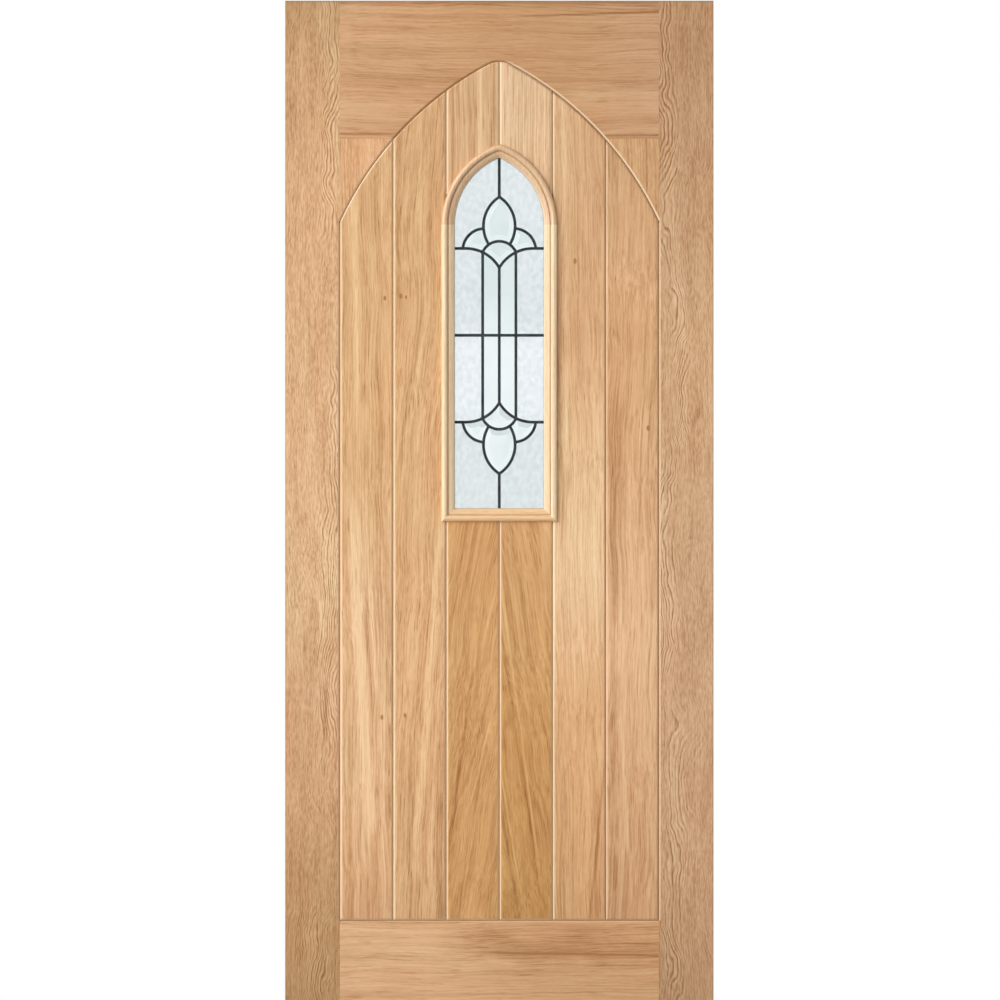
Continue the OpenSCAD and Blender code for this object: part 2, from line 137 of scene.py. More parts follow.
def shade(code):
    """The linear colour of a code such as #D2A679."""
    parts = [int(code[place:place + 2], 16) / 255 for place in (1, 3, 5)]
    return (*Color(parts).from_srgb_to_scene_linear(), 1.0)


def ramp(tree, factor, stops):
    """A colour ramp through (place, colour) stops."""
    node = add(tree, "ValToRGB", {"Fac": factor})
    elements = node.color_ramp.elements
    while len(elements) < len(stops):
        elements.new(0.5)
    for element, (place, colour) in zip(elements, stops):
        element.position = place
        element.color = colour
    return node.outputs[0]


def new_group(name, inputs, outputs):
    """An empty node group: its tree, the sockets that it reads and the node that it writes to."""
    tree = bpy.data.node_groups.new(name, "ShaderNodeTree")
    for socket, kind in inputs.items():
        tree.interface.new_socket(socket, in_out="INPUT", socket_type="NodeSocket" + kind)
    for socket, kind in outputs.items():
        tree.interface.new_socket(socket, in_out="OUTPUT", socket_type="NodeSocket" + kind)
    return tree, tree.nodes.new("NodeGroupInput").outputs, tree.nodes.new("NodeGroupOutput")


def place_group(tree, group, inputs):
    """A shared effect with its inputs, as its outputs."""
    node = add(tree, "Group", node_tree=group)
    for name, value in inputs.items():
        feed(tree, node.inputs[name], value)
    return node.outputs


# Shared effects

# What the base colour is multiplied by at the darkest and the palest tone, and in its two tints
DARK_OAK = (0.61, 0.505, 0.38)
PALE_OAK = (1.26, 1.46, 1.64)
ROSY_OAK = (1.012, 0.988, 0.972, 1.0)
YELLOW_OAK = (0.99, 1.008, 1.0, 1.0)


def oak_figure_group():
    """Oak cut from a log whose pith is the Z axis: growth rings, streaks, fibres, flecks and pores."""
    strengths = dict.fromkeys(["Rings", "Streaks", "Fibres", "Flecks", "Pores"], "Float")
    tree, given, out = new_group(
        "oak figure",
        {"Log": "Vector", "Base": "Color", "Mark": "Float", "Ring Width": "Float",
         "Wander": "Float", "Dive": "Float", "Sway": "Float", "Flame": "Float", "Seed": "Float",
         **strengths},
        {"Color": "Color", "Height": "Float", "Roughness": "Float"},
    )
    seeds = [maths(tree, "MULTIPLY", given["Seed"], spread) for spread in (3.7, 1.9, 5.3)]
    shift = add(tree, "CombineXYZ", enumerate(seeds)).outputs[0]

    # The grain wanders along the log, and all that follows bends with it
    wander = noise(tree, vectors(tree, "ADD", given["Log"], shift), (4, 4, 3.2), 2)[1]
    wander = vectors(tree, "SUBTRACT", wander, (0.5, 0.5, 0.5))
    reach = add(tree, "CombineXYZ", {"X": given["Wander"], "Y": given["Dive"]}).outputs[0]
    bent = vectors(tree, "ADD", given["Log"], vectors(tree, "MULTIPLY", wander, reach))
    grain = vectors(tree, "ADD", bent, shift)

    # Rings: pale early wood that darkens to a line and starts again, some years more than others
    flat = vectors(tree, "MULTIPLY", bent, (1, 1, 0))
    radius = add(tree, "VectorMath", {0: flat}, operation="LENGTH").outputs["Value"]
    age = maths(tree, "DIVIDE", radius, given["Ring Width"])
    waves = maths(tree, "MULTIPLY", swing(tree, grain, (24, 24, 13), 1, 30), given["Dive"])
    sway = maths(tree, "MULTIPLY", swing(tree, grain, (7, 7, 5), 3, 1), given["Sway"])
    age = total(tree, age, swing(tree, grain, (30, 30, 1.5), 1, 2.4), waves, sway)
    part = maths(tree, "FRACT", age)
    late = maths(tree, "SUBTRACT", fade(tree, part, 0.25, 0.85), fade(tree, part, 0.88, 1))
    year = maths(tree, "ADD", maths(tree, "FLOOR", age), given["Seed"])
    chance = add(tree, "TexWhiteNoise", {"W": year}, noise_dimensions="1D").outputs["Value"]
    depth = maths(tree, "MULTIPLY_ADD", chance, 0.8, 0.2)
    ring = maths(tree, "SUBTRACT", 0.36, maths(tree, "MULTIPLY", late, depth))
    clear = fade(tree, noise(tree, grain, (9, 9, 3.5), 1)[0], 0.36, 0.62)
    ring = maths(tree, "MULTIPLY", ring, maths(tree, "MULTIPLY_ADD", clear, 0.7, 0.3))
    ring = maths(tree, "MULTIPLY", ring, given["Rings"])

    # In a flame the same rings stand out, broken by the fibres
    broken = fade(tree, noise(tree, grain, (170, 170, 22), 2)[0], 0.34, 0.6)
    bold = maths(tree, "MULTIPLY", late, maths(tree, "MULTIPLY_ADD", chance, 0.4, 0.36))
    bold = maths(tree, "MULTIPLY", maths(tree, "SUBTRACT", 0.30, bold), given["Flame"])
    bold = maths(tree, "MULTIPLY", bold, maths(tree, "MULTIPLY_ADD", broken, 0.7, 0.3))
    ring = maths(tree, "ADD", ring, bold)

    def strength(name, value):
        return maths(tree, "MULTIPLY", value, given[name])

    streak = strength("Streaks", swing(tree, grain, (55, 55, 0.7), 4, 3))
    fibre = fade(tree, noise(tree, grain, (430, 430, 4), 3)[0], 0.36, 0.64)
    fibre = strength("Fibres", maths(tree, "SUBTRACT", fibre, 0.5))
    fleck = fade(tree, noise(tree, grain, (430, 430, 70), 2)[0], 0.34, 0.66)
    blotch = swing(tree, grain, (42, 42, 9), 2, 1.6)
    fleck = strength("Flecks", maths(tree, "ADD", maths(tree, "SUBTRACT", fleck, 0.5), blotch))
    pore = strength("Pores", fade(tree, noise(tree, grain, (480, 480, 17), 0)[0], 0.6, 0.76))
    tone = total(tree, 0.5, given["Mark"], ring, streak, fibre, fleck)
    tone = maths(tree, "SUBTRACT", tone, pore)

    # Tone 0 is the dark oak, 0.5 the base colour and 1 the pale oak
    blush = fade(tree, noise(tree, grain, (14, 14, 2.5), 1)[0], 0.35, 0.65)
    tint = mix_colours(tree, blush, YELLOW_OAK, ROSY_OAK)
    base = mix_colours(tree, 1.0, given["Base"], tint, "MULTIPLY")
    deep = vectors(tree, "MULTIPLY", base, DARK_OAK)
    light = vectors(tree, "MULTIPLY", base, PALE_OAK)
    low = add(tree, "MapRange", {"Value": tone, "From Max": 0.5}).outputs[0]
    high = add(tree, "MapRange", {"Value": tone, "From Min": 0.5}).outputs[0]
    colour = mix_colours(tree, high, mix_colours(tree, low, deep, base), light)

    height = total(tree, maths(tree, "MULTIPLY", ring, 0.5), fibre, fleck)
    feed(tree, out.inputs["Color"], colour)
    feed(tree, out.inputs["Height"], maths(tree, "SUBTRACT", height, pore))
    feed(tree, out.inputs["Roughness"], maths(tree, "MULTIPLY_ADD", tone, -0.16, 0.66))
    return tree


def streak_group():
    """A streak along the grain, with soft sides and ends."""
    names = ["Across", "Along", "At", "Half Width", "Lean", "From", "To"]
    tree, given, out = new_group("placed streak", dict.fromkeys(names, "Float"), {"Mask": "Float"})
    middle = maths(tree, "MULTIPLY", maths(tree, "ADD", given["From"], given["To"]), 0.5)
    past = maths(tree, "SUBTRACT", given["Along"], middle)
    centre = maths(tree, "MULTIPLY_ADD", past, given["Lean"], given["At"])
    line = add(tree, "CombineXYZ", {"Y": given["At"], "Z": given["Along"]}).outputs[0]
    weave = swing(tree, line, (0, 90, 9), 2, 1.6)
    off = maths(tree, "SUBTRACT", given["Across"], centre)
    off = maths(tree, "ADD", maths(tree, "DIVIDE", off, given["Half Width"]), weave)
    side = fade(tree, maths(tree, "ABSOLUTE", off), 1.1, 0.2)
    half = maths(tree, "MULTIPLY", maths(tree, "SUBTRACT", given["To"], given["From"]), 0.5)
    end = maths(tree, "DIVIDE", maths(tree, "ABSOLUTE", past), half)
    feed(tree, out.inputs["Mask"], maths(tree, "MULTIPLY", side, fade(tree, end, 1.0, 0.55)))
    return tree


def knot_group():
    """A pin knot: a small dark eye, drawn out along the grain."""
    names = ["Across", "Along", "At", "Place", "Size"]
    tree, given, out = new_group("pin knot", dict.fromkeys(names, "Float"), {"Mask": "Float"})
    side = maths(tree, "DIVIDE", maths(tree, "SUBTRACT", given["Across"], given["At"]), given["Size"])
    rise = maths(tree, "SUBTRACT", given["Along"], given["Place"])
    rise = maths(tree, "DIVIDE", rise, maths(tree, "MULTIPLY", given["Size"], 1.7))
    squares = maths(tree, "ADD", maths(tree, "POWER", side, 2.0), maths(tree, "POWER", rise, 2.0))
    feed(tree, out.inputs["Mask"], fade(tree, maths(tree, "SQRT", squares), 1.0, 0.3))
    return tree


def machined_walls_group():
    """The walls of the V grooves: what lies just under the two faces of the leaf."""
    outputs = {"Wall": "Float", "Joint": "Float"}
    tree, given, out = new_group("machined walls", {"Place": "Vector"}, outputs)
    parts = add(tree, "SeparateXYZ", {0: given["Place"]}).outputs
    depth = maths(tree, "ABSOLUTE", parts["Y"])
    under = fade(tree, depth, FACE_Y - 0.05 * MM, FACE_Y - 0.3 * MM)
    over = fade(tree, depth, GROOVE_FLOOR - 0.5 * MM, GROOVE_FLOOR)
    joint = fade(tree, depth, GROOVE_FLOOR + 1.2 * MM, GROOVE_FLOOR + 0.2 * MM)
    feed(tree, out.inputs["Wall"], maths(tree, "MULTIPLY", under, over))
    feed(tree, out.inputs["Joint"], maths(tree, "MULTIPLY", joint, over))
    return tree


def outer_edge_group():
    """The outermost edges of the leaf, a little darkened as painted shade."""
    tree, given, out = new_group("outer edge", {"Place": "Vector"}, {"Mask": "Float"})
    parts = add(tree, "SeparateXYZ", {0: given["Place"]}).outputs
    side = maths(tree, "ABSOLUTE", parts["X"])
    side = fade(tree, side, LEAF_HALF_W - 2.6 * MM, LEAF_HALF_W - 0.6 * MM)
    top = fade(tree, parts["Z"], LEAF_H - 5 * MM, LEAF_H - 0.5 * MM)
    near = fade(tree, maths(tree, "ABSOLUTE", parts["Y"]), FACE_Y - 3 * MM, FACE_Y - 1 * MM)
    outermost = maths(tree, "MAXIMUM", side, top)
    feed(tree, out.inputs["Mask"], maths(tree, "MULTIPLY", outermost, near))
    return tree


def distance(tree, across, up):
    """How far a place lies from a point, by how far it is across from it and up from it."""
    square = maths(tree, "MULTIPLY", across, across)
    return maths(tree, "SQRT", maths(tree, "MULTIPLY_ADD", up, up, square))


def arch_groove_group():
    """The walls of the arch's groove by hand, as one looks at either face. On the right arm the outer
    wall is painted pale as light and the inner one painted dark as shade. On the left arm, beside the
    rail, the inner wall is dull."""
    outputs = {"Lit": "Float", "Shaded": "Float", "Dull": "Float"}
    tree, given, out = new_group("arch groove", {"Place": "Vector"}, outputs)
    parts = add(tree, "SeparateXYZ", {0: given["Place"]}).outputs
    aside = maths(tree, "ABSOLUTE", parts["X"])

    # How far out a place lies, so that the groove's middle is at ARCH_R along the sides and the point
    up = maths(tree, "SUBTRACT", parts["Z"], ARCH_Z)
    sides = distance(tree, maths(tree, "ADD", aside, ARCH_OUT), up)
    tip = distance(tree, aside, maths(tree, "SUBTRACT", parts["Z"], TIP_Z))
    tip = maths(tree, "ADD", tip, ARCH_R - TIP_R)
    at_tip = maths(tree, "GREATER_THAN", parts["Z"], TIP_TURN)
    reach = maths(tree, "MULTIPLY_ADD", at_tip, maths(tree, "SUBTRACT", tip, sides), sides)

    depth = maths(tree, "ABSOLUTE", parts["Y"])
    near = fade(tree, depth, GROOVE_FLOOR - 0.5 * MM, GROOVE_FLOOR)
    over_foot = fade(tree, parts["Z"], ARCH_FOOT, ARCH_FOOT + 6 * MM)
    near = maths(tree, "MULTIPLY", near, over_foot)
    hand = maths(tree, "MULTIPLY", parts["X"], parts["Y"])
    right = maths(tree, "LESS_THAN", hand, 0.0)
    left = maths(tree, "SUBTRACT", 1.0, right)
    right = maths(tree, "MULTIPLY", right, fade(tree, aside, 2 * MM, 34 * MM))
    beside_rail = fade(tree, parts["Z"], RAIL_FOOT - 20 * MM, RAIL_FOOT + 20 * MM)

    outside, inside = ARCH_R + GROOVE_DEPTH, ARCH_R - GROOVE_DEPTH
    outer = fade(tree, reach, ARCH_R, ARCH_R + 0.4 * MM)
    outer = maths(tree, "MULTIPLY", outer, fade(tree, reach, outside + 0.9 * MM, outside + 0.1 * MM))
    outer = maths(tree, "MULTIPLY", outer, near)
    inner = fade(tree, reach, inside - 1.4 * MM, inside - 0.4 * MM)
    inner = maths(tree, "MULTIPLY", inner, fade(tree, reach, ARCH_R + 0.4 * MM, ARCH_R))
    inner = maths(tree, "MULTIPLY", inner, near)

    shaded = maths(tree, "MULTIPLY", inner, right)
    weight = maths(tree, "MULTIPLY_ADD", beside_rail, 0.6, 0.4)
    dull = maths(tree, "MULTIPLY", inner, left)
    feed(tree, out.inputs["Lit"], maths(tree, "MULTIPLY", outer, right))
    feed(tree, out.inputs["Shaded"], maths(tree, "MULTIPLY", shaded, weight))
    feed(tree, out.inputs["Dull"], maths(tree, "MULTIPLY", dull, beside_rail))
    return tree


OAK_FIGURE = oak_figure_group()
PLACED_STREAK = streak_group()
PIN_KNOT = knot_group()
MACHINED_WALLS = machined_walls_group()
OUTER_EDGE = outer_edge_group()
ARCH_GROOVE = arch_groove_group()


# Oak, one material for each piece of wood

# Streak: where across the grain, half its width, its two ends along the grain, all in mm, how it leans,
# and what it adds to the tone. Knot: where across and along the grain, and its size, in mm.
Streak = namedtuple("Streak", "at half low high lean tone")
Knot = namedtuple("Knot", "at place size")
# tones: (share of the way along the grain, colour). pith: X and Y, or Z and Y in a rail, in mm.
# lean: how the log leans across the piece and into the leaf, in degrees. ring: width of a ring in mm.
# wander, dive: how far the grain strays across the log, in mm. rings to pores: how strong these are.
# marks: placed streaks and knots. sway: by how many rings the figure sways.
# flames: where the rings stand out, as streaks.
Oak = namedtuple(
    "Oak", "tones pith lean ring wander dive rings streaks fibres flecks pores marks sway flames",
    defaults=[0.0, ()])

FRESH_CUT_AND_HIGHLIGHT = shade("#EFD3B0")
JOINT_AND_SHADE_BROWN = shade("#6C4522")
PAINTED_EDGE_SHADE = shade("#8F7355")
KNOT_TONE = -1.0
# How pale the walls of the grooves are, and where the wood lies level
GROOVE_CUT = 0.7
LEVEL_CUT = 0.1
# How far those of the arch's groove go towards a fresh cut on the lit wall, as painted light, towards
# their plain figure, and towards the joint's dark on the shaded wall, as painted shade
PAINTED_LIGHT_WALL = 0.88
DULL_WALL = 0.85
PAINTED_SHADE_WALL = 0.28
# How dark the bottoms of the grooves are, where the boards meet, and the painted shade along the outer
# edges
JOINT_DARK = 0.75
EDGE_DARK = 0.55
# A streak's two ends when it runs the whole length, in mm
END_TO_END = (-1000, 3000)
# Half the width of the painted highlight along a board's lit edge in mm, and how much less pale it is
# than the groove's wall
ARRIS_HIGHLIGHT_HALF = 1.8
ARRIS_HIGHLIGHT_LESS = 0.25


def new_material(name):
    """A new material, its tree and its Principled shader."""
    material = bpy.data.materials.new(name)
    material.use_nodes = True
    tree = material.node_tree
    return material, tree, tree.nodes["Principled BSDF"]


def marks_tone(tree, marks, across, along):
    """What the placed streaks and knots add to the tone."""
    tone = 0.0
    for mark in marks:
        inputs = {"Across": across, "Along": along, "At": mark.at * MM}
        if isinstance(mark, Streak):
            inputs.update({"Half Width": mark.half * MM, "Lean": mark.lean,
                           "From": mark.low * MM, "To": mark.high * MM})
            mask, strength = place_group(tree, PLACED_STREAK, inputs)[0], mark.tone
        else:
            inputs.update({"Place": mark.place * MM, "Size": mark.size * MM})
            mask, strength = place_group(tree, PIN_KNOT, inputs)[0], KNOT_TONE
        tone = maths(tree, "MULTIPLY_ADD", mask, strength, tone)
    return tone


def oak_material(name, oak, seed, level=False, hand=1, shine=0.25, cut=GROOVE_CUT, arris_highlight=()):
    """Oak with its grain upright, or level along X. hand is -1 for a piece on the back face.
    cut: how pale the walls of its grooves are. arris_highlight: where a painted highlight runs along
    the lit edge of a board's face, in mm."""
    material, tree, shader = new_material(name)
    place = add(tree, "TexCoord").outputs["Object"]
    parts = add(tree, "SeparateXYZ", {0: place}).outputs
    across, along = (parts["Z"], parts["X"]) if level else (parts["X"], parts["Z"])

    first, second = (value * MM for value in oak.pith)
    side, inward = (math.radians(value) for value in oak.lean)
    inward, second = inward * hand, second * hand
    pith = (0.0, second, first) if level else (first, second, LEAF_H / 2)
    turn = (inward, math.pi / 2 + side, 0.0) if level else (inward, side, 0.0)
    inputs = {"Vector": place, "Location": pith, "Rotation": turn}
    log = add(tree, "Mapping", inputs, vector_type="TEXTURE")

    start, end = (-LEAF_HALF_W, LEAF_HALF_W) if level else (0.0, LEAF_H)
    share = add(tree, "MapRange", {"Value": along, "From Min": start, "From Max": end}).outputs[0]
    stops = [(stop, shade(code)) for stop, code in oak.tones]
    marks = list(oak.marks) if hand > 0 else []
    # Painted highlight: a pale streak along the lit edge of each board's face
    marks += [Streak(at, ARRIS_HIGHLIGHT_HALF, *END_TO_END, 0, cut - ARRIS_HIGHLIGHT_LESS) for at in arris_highlight]
    figure = place_group(tree, OAK_FIGURE, {
        "Log": log.outputs[0], "Base": ramp(tree, share, stops),
        "Mark": marks_tone(tree, marks, across, along),
        "Flame": marks_tone(tree, oak.flames, across, along),
        "Ring Width": oak.ring * MM, "Wander": oak.wander * MM, "Dive": oak.dive * MM,
        "Sway": oak.sway, "Seed": float(seed),
        "Rings": oak.rings, "Streaks": oak.streaks, "Fibres": oak.fibres,
        "Flecks": oak.flecks, "Pores": oak.pores,
    })
    walls = place_group(tree, MACHINED_WALLS, {"Place": place})
    edge = place_group(tree, OUTER_EDGE, {"Place": place})["Mask"]
    arch = place_group(tree, ARCH_GROOVE, {"Place": place})

    def share_of(mask, strength):
        return maths(tree, "MULTIPLY", mask, strength)

    # Painted light and shade on the arch's groove: the right arm's outer wall is painted pale as if
    # lit, and its inner wall is painted dark as shade
    dull = maths(tree, "MAXIMUM", share_of(arch["Dull"], DULL_WALL), arch["Shaded"])
    paler_cut_and_highlight = share_of(share_of(walls["Wall"], cut), maths(tree, "SUBTRACT", 1.0, dull))
    paler_cut_and_highlight = maths(tree, "MAXIMUM", paler_cut_and_highlight, share_of(arch["Lit"], PAINTED_LIGHT_WALL))
    colour = mix_colours(tree, paler_cut_and_highlight, figure["Color"], FRESH_CUT_AND_HIGHLIGHT)
    colour = mix_colours(tree, share_of(arch["Shaded"], PAINTED_SHADE_WALL), colour, JOINT_AND_SHADE_BROWN)
    colour = mix_colours(tree, share_of(walls["Joint"], JOINT_DARK), colour, JOINT_AND_SHADE_BROWN)
    # Painted shade along the leaf's outermost edges
    colour = mix_colours(tree, share_of(edge, EDGE_DARK), colour, PAINTED_EDGE_SHADE)
    bump = add(tree, "Bump", {"Strength": 0.35, "Distance": 0.8 * MM, "Height": figure["Height"]})
    feed(tree, shader.inputs["Base Color"], colour)
    # The more it shines, the smoother it is
    matt = 1.2 - 0.6 * shine
    feed(tree, shader.inputs["Roughness"], maths(tree, "MULTIPLY", figure["Roughness"], matt))
    feed(tree, shader.inputs["Normal"], bump.outputs[0])
    shader.inputs["Specular IOR Level"].default_value = shine
    return material


def dress(node, material):
    """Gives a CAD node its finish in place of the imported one."""
    slots = NODES[node].data.materials
    slots.clear()
    slots.append(material)


STILES = {
    "left_stile": Oak(
        tones=[(0.0, "#B68B60"), (0.12, "#BC9064"), (0.22, "#CF9F76"), (0.32, "#D1A279"),
               (0.42, "#DAAF84"), (0.8, "#D9AB7F"), (0.92, "#CEA277"), (1.0, "#BB9167")],
        pith=(-270, 20), lean=(0.4, 0), ring=4.8, wander=36, dive=60,
        rings=0.28, streaks=0.12, fibres=0.2, flecks=0.33, pores=0.10,
        marks=[Streak(-350, 4, 720, 850, -0.12, 0.30), Streak(-340, 6, 520, 660, 0, -0.34)],
        sway=18,
        flames=[Streak(-330, 26, 1440, 2400, 0, 1.4), Streak(-336, 32, 460, 1080, 0, 1.3),
                Streak(-322, 18, 960, 1300, 0, 1.1), Streak(-372, 44, -300, 280, 0, 1.1)]),
    "right_stile": Oak(
        tones=[(0.0, "#B9916D"), (0.12, "#BE956F"), (0.3, "#C79C76"), (0.66, "#CBA27A"),
               (0.8, "#C0956E"), (0.95, "#B58A64")],
        pith=(272, 20), lean=(-0.4, 0), ring=4.8, wander=36, dive=60,
        rings=0.28, streaks=0.12, fibres=0.2, flecks=0.32, pores=0.10,
        marks=[Streak(356, 8, 1140, 1330, 0, -0.12), Streak(338, 16, -60, 200, 0, -0.10)],
        sway=18,
        flames=[Streak(328, 22, 1420, 2060, 0, 1.4), Streak(354, 20, 1040, 1500, 0, 1.2),
                Streak(328, 26, 620, 1140, 0, 1.4), Streak(350, 26, 160, 620, 0, 1.3),
                Streak(340, 26, -200, 240, 0, 1.1)]),
}
RAILS = {
    "top_rail": Oak(
        tones=[(0.1, "#D2A47B"), (0.4, "#C7976C"), (0.6, "#C29368"), (0.9, "#C1946E")],
        pith=(1560, 60), lean=(0.6, 1.5), ring=6.5, wander=24, dive=16,
        rings=0.24, streaks=0.3, fibres=0.14, flecks=0.08, pores=0.20,
        marks=[Streak(1977, 9, -800, 800, 0, -0.30), Streak(1956, 3, 0, 420, 0.035, -0.42),
               Streak(1949, 4, -260, 60, 0.0, -0.16), Streak(1721, 4, -500, -160, 0, -0.34),
               Streak(1718, 3, 150, 480, 0.01, -0.34), Streak(1778, 38, 90, 400, 0, 0.20)]),
    "bottom_rail": Oak(
        tones=[(0.1, "#DCAE84"), (0.35, "#DDB084"), (0.5, "#D6A77B"), (0.7, "#D2A277"),
               (0.9, "#CF9F72")],
        pith=(-190, 60), lean=(-0.6, 1.5), ring=6.5, wander=24, dive=16,
        rings=0.24, streaks=0.3, fibres=0.14, flecks=0.08, pores=0.20,
        marks=[Streak(128, 38, -160, 620, -0.02, -0.30), Streak(114, 3, -140, 620, -0.02, -0.26),
               Streak(136, 2.5, -60, 620, -0.015, -0.18), Streak(92, 2.5, 0, 620, -0.02, -0.16)]),
}
SPANDRELS = {
    "left_spandrel": Oak(
        tones=[(0.0, "#DAA87B"), (1.0, "#DAA87B")],
        pith=(-520, 30), lean=(0, 0), ring=7, wander=20, dive=20,
        rings=0.38, streaks=0.3, fibres=0.24, flecks=0.24, pores=0.1, marks=()),
    "right_spandrel": Oak(
        tones=[(0.0, "#C8996C"), (1.0, "#C8996C")],
        pith=(520, 30), lean=(0, 0), ring=7, wander=20, dive=20,
        rings=0.38, streaks=0.3, fibres=0.24, flecks=0.24, pores=0.1, marks=()),
}
BOARDS = {
    "1": Oak(
        tones=[(0.11, "#CF9F73"), (0.17, "#D8AA7D"), (0.22, "#DBAE81"), (0.42, "#DCAF82"),
               (0.58, "#DAAA79"), (0.75, "#D8A979"), (0.9, "#D3A475")],
        pith=(-560, 70), lean=(-0.8, 0.6), ring=6, wander=36, dive=36,
        rings=0.22, streaks=0.34, fibres=0.3, flecks=0.12, pores=0.24,
        marks=[Streak(-283, 7, 1130, 1700, -0.012, 0.32), Streak(-269, 15, 200, 1090, -0.052, 0.42),
               Streak(-248, 5, 590, 890, -0.06, 0.30), Streak(-292, 8, 60, 620, 0, -0.16),
               Streak(-255, 4, 540, 860, -0.05, -0.26), Streak(-240, 4, 180, 500, 0, -0.20),
               Streak(-227, 8, 40, 780, -0.01, 0.34),
               Knot(-223.7, 1399, 3.6), Knot(-229.6, 579, 4.2)]),
    "2": Oak(
        tones=[(0.1, "#D4A678"), (0.36, "#DBAC7D"), (0.46, "#D7A777"), (0.7, "#D8A878"),
               (0.9, "#CFA274")],
        pith=(60, 90), lean=(3, 1.0), ring=6, wander=36, dive=36,
        rings=0.24, streaks=0.24, fibres=0.32, flecks=0.14, pores=0.28,
        marks=[Streak(-196, 8, 1340, 1800, 0, -0.20), Streak(-155, 10, 1460, 1950, 0, 0.16),
               Streak(-136, 11, 260, 1060, 0.075, 0.42), Streak(-168, 6, 940, 1460, 0.16, 0.16),
               Streak(-119, 12, 60, 540, 0, -0.24), Streak(-173, 8, 60, 500, 0, -0.18),
               Streak(-182, 4, 940, 1420, 0.16, -0.14),
               Knot(-192.4, 1403, 3.9), Knot(-182.6, 1401, 2.8), Knot(-184.5, 583, 3.4)]),
    "3_upper": Oak(
        tones=[(0.0, "#D3A87D"), (1.0, "#D3A87D")],
        pith=(-260, 40), lean=(0.5, 0), ring=9, wander=16, dive=16,
        rings=0.42, streaks=0.34, fibres=0.28, flecks=0.08, pores=0.18,
        marks=[Streak(-38, 7, 1500, 2050, 0, 0.26), Streak(-72, 5, 1500, 2050, 0, -0.14),
               Streak(-10, 5, 1500, 2050, 0, -0.20)]),
    "4_upper": Oak(
        tones=[(0.0, "#DFB991"), (1.0, "#DFB991")],
        pith=(330, 60), lean=(-0.4, 0), ring=7, wander=16, dive=16,
        rings=0.18, streaks=0.18, fibres=0.3, flecks=0.1, pores=0.2,
        marks=[Streak(96, 5, 1500, 2050, 0, -0.14)]),
    "3_lower": Oak(
        tones=[(0.1, "#C7955F"), (0.3, "#CC9A64"), (0.5, "#CE9A64")],
        pith=(72, 140), lean=(8, -4), ring=8, wander=36, dive=36,
        rings=0.38, streaks=0.3, fibres=0.26, flecks=0.10, pores=0.20,
        marks=[Streak(-36, 3, 390, 600, 0.24, 0.30), Streak(-51, 3, 200, 510, 0.16, 0.30),
               Streak(-16, 4, 680, 900, 0.26, 0.20), Streak(-76, 5, 280, 700, 0.14, -0.28),
               Streak(-44, 4, 420, 640, 0.26, -0.20), Streak(-14, 8, 20, 420, 0.02, -0.12)]),
    "4_lower": Oak(
        tones=[(0.1, "#BD8B52"), (0.3, "#C6935B"), (0.5, "#D09D6A")],
        pith=(-72, 140), lean=(-8, -4), ring=8, wander=36, dive=36,
        rings=0.38, streaks=0.3, fibres=0.26, flecks=0.10, pores=0.20,
        marks=[Streak(40, 3.5, 200, 930, -0.13, 0.42), Streak(30, 5, 260, 870, -0.14, -0.24),
               Streak(50, 4, 160, 780, -0.12, -0.20), Streak(20, 2.5, 200, 540, -0.16, 0.36),
               Streak(12, 4, 180, 520, -0.16, -0.22), Streak(84, 12, 560, 1100, 0.03, 0.18)]),
    "5": Oak(
        tones=[(0.1, "#CC9C6D"), (0.2, "#D5A576"), (0.31, "#DBAB7C"), (0.43, "#EAC297"),
               (0.57, "#E4BC90"), (0.67, "#D6A97D"), (0.95, "#D5A97F")],
        pith=(420, 70), lean=(-1.0, 1.0), ring=7, wander=36, dive=36,
        rings=0.22, streaks=0.24, fibres=0.24, flecks=0.1, pores=0.16,
        marks=[Streak(127, 9, 900, 2000, 0, 0.28), Streak(189, 4, 60, 560, 0.10, -0.30),
               Streak(193, 12, 40, 520, 0, -0.18), Streak(168, 3, 300, 760, 0.06, -0.14),
               # The streak at 121 mm is a painted shadow that the bead casts on this board
               Streak(121, 12, 860, 1660, 0, -0.26), Knot(148, 1471.6, 4.2)]),
    "6": Oak(
        tones=[(0.1, "#C99970"), (0.2, "#D1A176"), (0.37, "#DDB087"), (0.47, "#D9AB80"),
               (0.6, "#D4A578"), (0.72, "#D5A77B"), (0.85, "#C89B70")],
        pith=(520, 80), lean=(1.0, 0.8), ring=7, wander=36, dive=36,
        rings=0.24, streaks=0.3, fibres=0.27, flecks=0.1, pores=0.19,
        marks=[Streak(282, 3.5, 820, 1560, 0.038, -0.28), Streak(228, 28, 760, 1260, 0, -0.20),
               Streak(224, 16, 40, 700, 0, -0.18), Streak(250, 4, 150, 620, -0.06, 0.18),
               Knot(291, 1144.8, 4.2)]),
}
BEAD = Oak(
    tones=[(0.0, "#E7C9A1"), (1.0, "#E7C9A1")],
    pith=(-240, 50), lean=(0, 0), ring=5, wander=6, dive=6,
    rings=0.16, streaks=0.12, fibres=0.20, flecks=0.12, pores=0.08, marks=())
BEADS = {
    # On the left and right beads a pale streak is painted light over the flank that lies in shade
    "left": BEAD._replace(marks=[Streak(-89, 4, *END_TO_END, 0, 0.36)]),
    "right": BEAD._replace(marks=[Streak(112, 5, *END_TO_END, 0, 0.32)]),
    "arch": BEAD._replace(tones=[(0.0, "#D6AE84"), (1.0, "#D6AE84")]),
    "sill": BEAD._replace(tones=[(0.0, "#E3BC8E"), (1.0, "#E3BC8E")], pith=(900, 50)),
}
HIDDEN = Oak(
    tones=[(0.0, "#C79C6D"), (1.0, "#C79C6D")],
    pith=(-300, 80), lean=(0, 0), ring=6, wander=10, dive=10,
    rings=0.20, streaks=0.14, fibres=0.12, flecks=0.08, pores=0.08, marks=())
